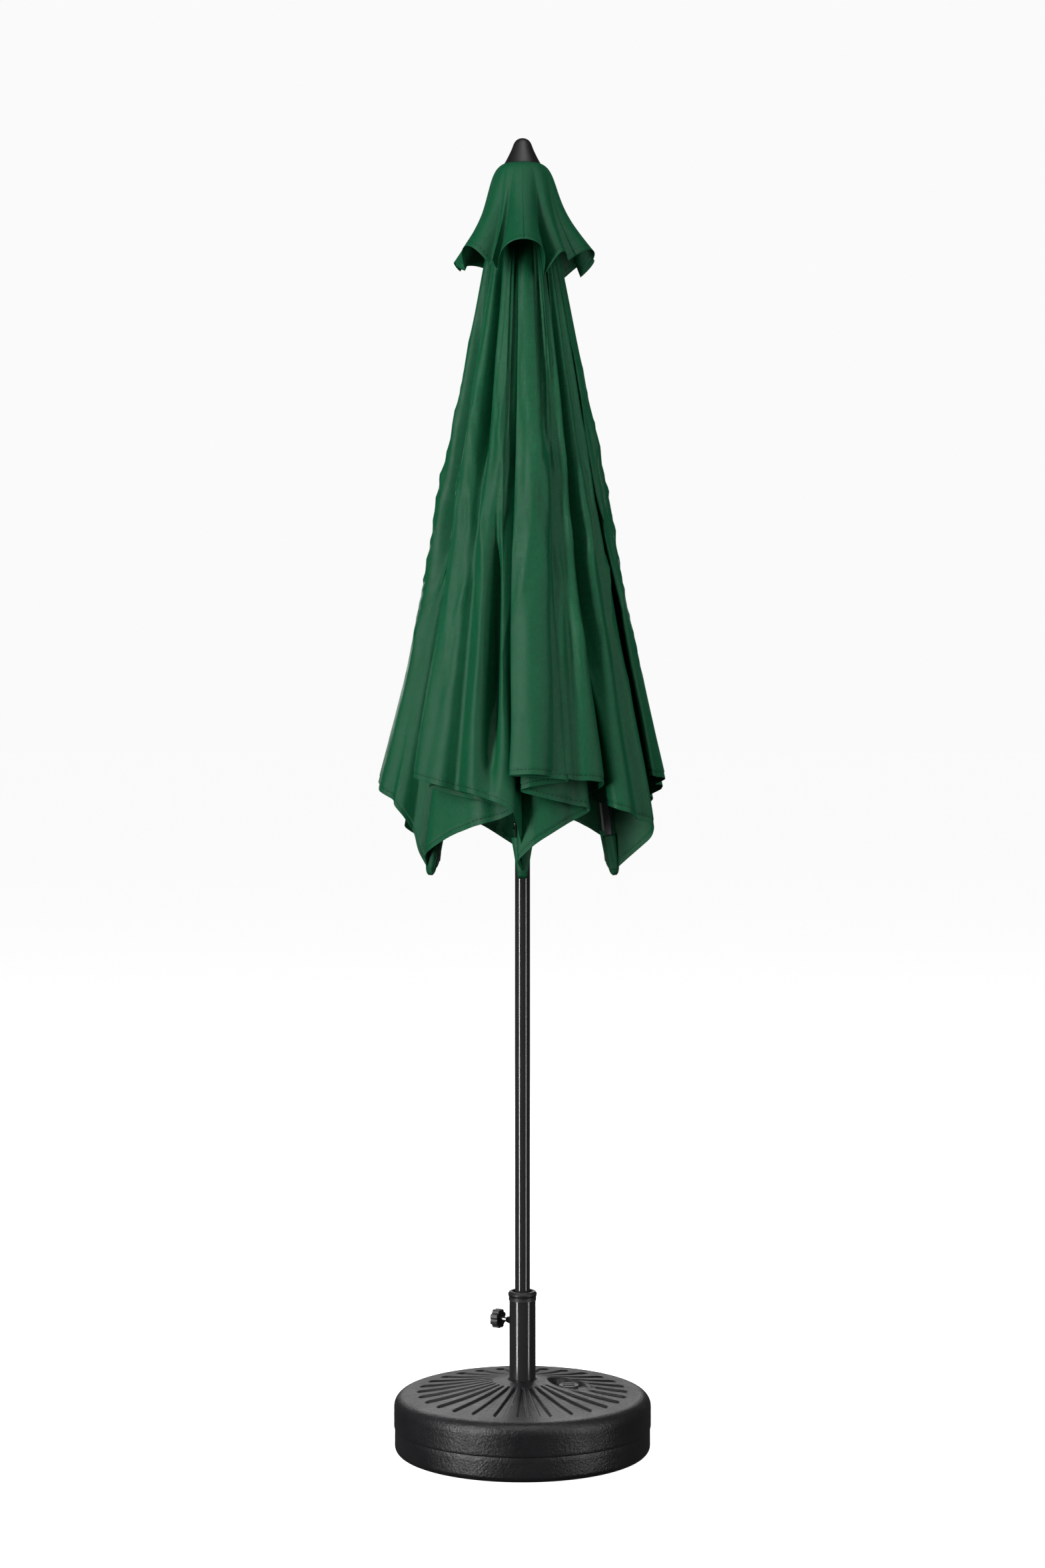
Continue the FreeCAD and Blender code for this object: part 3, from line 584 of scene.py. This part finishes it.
class Nodes:
    """Short ways to add and join shader nodes."""

    def __init__(self, name, **sockets):
        self.material = bpy.data.materials.new(name)
        self.material.use_nodes = True
        self.tree = self.material.node_tree
        self.shader = self.tree.nodes["Principled BSDF"]
        for socket, value in sockets.items():
            self.shader.inputs[socket.replace("_", " ").title().replace("Ior", "IOR")].default_value = value

    def add(self, kind, **inputs):
        node = self.tree.nodes.new(kind)
        for name, value in inputs.items():
            socket = node.inputs[name.replace("_", " ")]
            if hasattr(value, "is_output"):
                self.tree.links.new(value, socket)
            else:
                socket.default_value = value
        return node

    def join(self, output, socket):
        self.tree.links.new(output, socket)

    def place(self, scale=(1, 1, 1), uv=None):
        """Coordinates in metres, stretched by scale."""
        if uv:
            source = self.tree.nodes.new("ShaderNodeUVMap")
            source.uv_map = uv
            out = source.outputs["UV"]
        else:
            out = self.tree.nodes.new("ShaderNodeTexCoord").outputs["Object"]
        return self.add("ShaderNodeMapping", Vector=out, Scale=scale).outputs["Vector"]

    def noise(self, vector, scale, detail=3.0, roughness=0.5):
        return self.add("ShaderNodeTexNoise", Vector=vector, Scale=scale, Detail=detail,
                        Roughness=roughness).outputs["Fac"]

    def wave(self, vector, scale, direction):
        node = self.add("ShaderNodeTexWave", Vector=vector, Scale=scale, Distortion=0.6, Detail=1.0)
        node.bands_direction = direction
        return node.outputs["Fac"]

    def math(self, operation, a, b=0.0):
        node = self.tree.nodes.new("ShaderNodeMath")
        node.operation = operation
        for socket, value in zip(node.inputs, (a, b)):
            if hasattr(value, "is_output"):
                self.tree.links.new(value, socket)
            else:
                socket.default_value = value
        return node.outputs[0]

    def span(self, value, low, high, to_low, to_high):
        node = self.tree.nodes.new("ShaderNodeMapRange")
        self.tree.links.new(value, node.inputs["Value"])
        for name, number in zip(("From Min", "From Max", "To Min", "To Max"), (low, high, to_low, to_high)):
            node.inputs[name].default_value = number
        return node.outputs["Result"]

    def mix(self, factor, a, b):
        node = self.tree.nodes.new("ShaderNodeMix")
        node.data_type = "RGBA"
        for name, value in (("Factor", factor), ("A", a), ("B", b)):
            socket = next(x for x in node.inputs if x.name == name and x.enabled)
            if hasattr(value, "is_output"):
                self.tree.links.new(value, socket)
            else:
                socket.default_value = value
        return next(x for x in node.outputs if x.enabled)

    def bump(self, height, strength, distance, under=None):
        node = self.add("ShaderNodeBump", Strength=strength, Distance=distance, Height=height)
        if under is not None:
            self.tree.links.new(under, node.inputs["Normal"])
        return node.outputs["Normal"]

    def edge_highlight_mask(self, low=0.52, high=0.60):
        """0 on flats, towards 1 along outer edges: where the painted edge highlight goes."""
        edge = self.tree.nodes.new("ShaderNodeNewGeometry").outputs["Pointiness"]
        return self.span(edge, low, high, 0.0, 1.0)


def fabric_material():
    n = Nodes("woven_polyester", roughness=0.42, sheen_weight=0.02, sheen_roughness=0.35,
              specular_ior_level=0.20)
    n.shader.inputs["Sheen Tint"].default_value = linear(120, 205, 160)
    cloth = n.place(uv="cloth")
    broad = n.noise(cloth, 3.2, 4.0)
    slub = n.noise(n.place((1, 0.08, 1), "cloth"), 900.0, 2.0)
    cross = n.noise(n.place((0.08, 1, 1), "cloth"), 900.0, 2.0)
    thread = n.math("MULTIPLY", n.math("ADD", slub, cross), 0.5)
    green = n.mix(n.span(broad, 0.3, 0.7, 0.0, 1.0), linear(8, 76, 46), linear(14, 90, 56))
    speck = n.span(thread, 0.36, 0.62, 0.75, 0.0)
    green = n.mix(speck, green, linear(14, 62, 41))
    hem = n.tree.nodes.new("ShaderNodeAttribute")
    hem.attribute_name = "hem_m"
    off = n.math("ABSOLUTE", n.math("SUBTRACT", hem.outputs["Fac"], 0.0105))
    row = n.span(off, 0.0006, 0.0016, 1.0, 0.0)
    dash = n.span(n.wave(n.place(uv="cloth"), 48.0, "X"), 0.35, 0.5, 0.0, 1.0)
    stitch = n.math("MULTIPLY", row, dash)
    green = n.mix(n.math("MULTIPLY", stitch, 0.65), green, linear(8, 40, 26))
    n.join(green, n.shader.inputs["Base Color"])
    n.join(n.span(n.noise(cloth, 40.0), 0.3, 0.7, 0.36, 0.50), n.shader.inputs["Roughness"])
    weave = n.math("MULTIPLY", n.wave(cloth, 420.0, "X"), n.wave(cloth, 420.0, "Y"))
    soft = n.bump(n.noise(cloth, 28.0, 4.0), 0.30, 0.0035)
    rough = n.bump(n.math("ADD", weave, thread), 0.30, 0.0006, soft)
    n.join(n.bump(stitch, 0.6, -0.0008, rough), n.shader.inputs["Normal"])
    return n.material


def moulded(name, dark, light, roughness, grain, depth, edge=0.25, specular=0.5):
    """Moulded plastic or powder coat: a fine grain, uneven gloss, and outer edges painted a little lighter as
    a highlight.
    """
    n = Nodes(name, specular_ior_level=specular)
    where = n.place()
    body = n.mix(n.span(n.noise(where, 9.0, 5.0), 0.35, 0.65, 0.0, 1.0), dark, light)
    # Painted highlight: outer edges are mixed towards light grey by the edge share, standing in for the
    # highlight along rims and shoulders.
    painted_highlight = n.math("MULTIPLY", n.edge_highlight_mask(), edge)
    n.join(n.mix(painted_highlight, body, linear(96, 96, 98)), n.shader.inputs["Base Color"])
    uneven = n.noise(where, 22.0, 6.0, 0.6)
    n.join(n.span(uneven, 0.3, 0.7, roughness - 0.06, roughness + 0.07), n.shader.inputs["Roughness"])
    peel = n.noise(where, grain, 2.0)
    fine = n.noise(where, grain * 3.3, 2.0)
    height = n.math("ADD", peel, n.math("MULTIPLY", fine, 0.4))
    n.join(n.bump(height, 0.5, depth), n.shader.inputs["Normal"])
    return n.material


def metal(name, colour, roughness):
    n = Nodes(name, metallic=1.0)
    where = n.place((1, 1, 0.15))
    streak = n.noise(where, 420.0, 3.0)
    n.join(n.mix(n.span(streak, 0.3, 0.7, 0.0, 0.5), colour, linear(120, 122, 125)),
           n.shader.inputs["Base Color"])
    n.join(n.span(streak, 0.3, 0.7, roughness - 0.08, roughness + 0.1), n.shader.inputs["Roughness"])
    n.join(n.bump(streak, 0.25, 0.0003), n.shader.inputs["Normal"])
    return n.material


def sand_material():
    n = Nodes("dry_sand", roughness=0.9)
    grains = n.noise(n.place(), 700.0, 4.0, 0.7)
    n.join(n.mix(grains, linear(150, 124, 88), linear(216, 196, 158)), n.shader.inputs["Base Color"])
    n.join(n.span(grains, 0.3, 0.7, 0.8, 0.95), n.shader.inputs["Roughness"])
    n.join(n.bump(grains, 0.8, 0.001), n.shader.inputs["Normal"])
    return n.material


def finishes():
    """A material for every material slot of the record."""
    return {
        "tank_plastic": moulded("moulded_tank", linear(20, 20, 22), linear(28, 27, 29), 0.40, 210.0, 0.0018,
                                0.20),
        "stem_paint": moulded("satin_stem_paint", linear(11, 11, 12), linear(14, 14, 15), 0.17, 300.0,
                              0.000006, 0.15),
        "black_plastic": moulded("black_plastic", linear(13, 12, 14), linear(18, 17, 20), 0.42, 620.0,
                                 0.0004, 0.35),
        "release_plastic": moulded("grey_release_plastic", linear(92, 94, 97), linear(104, 106, 109), 0.40,
                                   500.0, 0.0004, 0.2),
        "pole_paint": moulded("satin_pole_paint", linear(11, 11, 12), linear(14, 14, 15), 0.16, 300.0,
                              0.000006, 0.15, 0.6),
        "frame_paint": moulded("grey_frame_paint", linear(78, 79, 82), linear(88, 89, 92), 0.38, 800.0,
                               0.0002, 0.3),
        "zinc_steel": metal("zinc_plate", linear(186, 188, 190), 0.30),
        "sand": sand_material(),
        "canopy_fabric": fabric_material(),
    }


def dress_nodes(made):
    for node in frame["nodes"].values():
        for slot in node.material_slots:
            key = slot.material.name.split(".")[0] if slot.material else ""
            slot.material = made.get(key, made["black_plastic"])


# ---- stage, light and camera ----
FLOOR_RADIUS, FLOOR_Z = 58.0, -0.0005
FLOOR_GLOW = 0.915
BACKDROP_RADIUS = 60.0


def make_floor():
    mesh = bpy.data.meshes.new("studio_floor")
    ring = [(FLOOR_RADIUS * math.cos(rad(a)), FLOOR_RADIUS * math.sin(rad(a)), FLOOR_Z)
            for a in range(0, 360, 5)]
    mesh.from_pydata(ring, [], [tuple(range(len(ring)))])
    floor = bpy.data.objects.new("studio_floor", mesh)
    bpy.context.scene.collection.objects.link(floor)
    n = Nodes("studio_white", roughness=0.7, specular_ior_level=0.15)
    tone = n.noise(n.place(), 2.0)
    n.join(n.mix(tone, linear(240, 240, 240), linear(243, 243, 243)), n.shader.inputs["Base Color"])
    n.shader.inputs["Emission Color"].default_value = linear(255, 255, 255)
    n.shader.inputs["Emission Strength"].default_value = FLOOR_GLOW
    mesh.materials.append(n.material)
    floor.visible_glossy = False
    floor.visible_diffuse = False


def make_backdrop():
    """A pale surround that only the camera sees, so that it adds no light of its own."""
    rows, cols = 12, 48
    verts = [(BACKDROP_RADIUS * math.cos(rad(90 * r / rows)) * math.cos(2 * math.pi * c / cols),
              BACKDROP_RADIUS * math.cos(rad(90 * r / rows)) * math.sin(2 * math.pi * c / cols),
              BACKDROP_RADIUS * math.sin(rad(90 * r / rows)) - 0.5)
             for r in range(rows + 1) for c in range(cols)]
    faces = [(r * cols + c, r * cols + (c + 1) % cols, (r + 1) * cols + (c + 1) % cols, (r + 1) * cols + c)
             for r in range(rows) for c in range(cols)]
    mesh = bpy.data.meshes.new("studio_surround")
    mesh.from_pydata(verts, [], faces)
    surround = bpy.data.objects.new("studio_surround", mesh)
    bpy.context.scene.collection.objects.link(surround)
    for ray in ("visible_diffuse", "visible_glossy", "visible_transmission", "visible_shadow"):
        setattr(surround, ray, False)
    n = Nodes("surround_white", roughness=1.0, specular_ior_level=0.0)
    tone = n.noise(n.place(), 0.02)
    n.join(n.mix(tone, (0, 0, 0, 1), (0.001, 0.001, 0.001, 1)), n.shader.inputs["Base Color"])
    n.shader.inputs["Emission Color"].default_value = linear(250, 250, 250)
    n.shader.inputs["Emission Strength"].default_value = 1.0
    mesh.materials.append(n.material)


def area_light(name, place, aim, size, power, glossy=True):
    data = bpy.data.lights.new(name, "AREA")
    data.shape = "RECTANGLE"
    data.size, data.size_y = size
    data.energy = power
    lamp = bpy.data.objects.new(name, data)
    lamp.location = place
    lamp.visible_camera = False
    lamp.visible_glossy = glossy
    lamp.rotation_euler = (Vector(aim) - Vector(place)).to_track_quat("-Z", "Y").to_euler()
    bpy.context.scene.collection.objects.link(lamp)


def make_light():
    world = bpy.data.worlds.new("studio")
    world.use_nodes = True
    world.node_tree.nodes["Background"].inputs["Color"].default_value = (0.95, 0.96, 0.97, 1)
    world.node_tree.nodes["Background"].inputs["Strength"].default_value = 0.05
    bpy.context.scene.world = world
    area_light("strip_left", (-3.3, -2.9, 1.5), (0, 0, 1.3), (0.55, 6.0), 335)
    area_light("strip_right", (3.6, -2.4, 1.5), (0, 0, 1.3), (0.55, 6.0), 120)
    area_light("top_soft", (0.3, -1.6, 5.0), (0, 0, 1.0), (2.4, 2.4), 62)
    area_light("rear_soft", (-0.4, 3.2, 1.9), (0, 0, 0.1), (3.0, 1.0), 34)
    area_light("rear_left", (-2.4, 4.0, 2.0), (0, 0, 1.4), (1.4, 4.0), 120, glossy=False)
    area_light("rear_right", (2.4, 4.0, 2.0), (0, 0, 1.4), (1.4, 4.0), 110, glossy=False)


def make_camera():
    data = bpy.data.cameras.new("photo_view")
    data.sensor_width = 36.0
    data.lens = 67.84
    data.shift_y = -0.062
    camera = bpy.data.objects.new("photo_view", data)
    camera.location = (0.0, -5.5, 1.42)
    camera.rotation_euler = (math.pi / 2, 0, 0)
    bpy.context.scene.collection.objects.link(camera)
    bpy.context.scene.camera = camera


def main():
    bpy.context.scene.view_settings.view_transform = "Standard"
    made = finishes()
    dress_nodes(made)
    make_tank(made["tank_plastic"])
    make_finial(made["black_plastic"])
    for i in range(1, GORES + 1):
        make_gore(i, made["canopy_fabric"])
        make_vent(i, made["canopy_fabric"])
        make_pocket(i, made["canopy_fabric"])
    make_floor()
    make_backdrop()
    make_light()
    make_camera()


main()
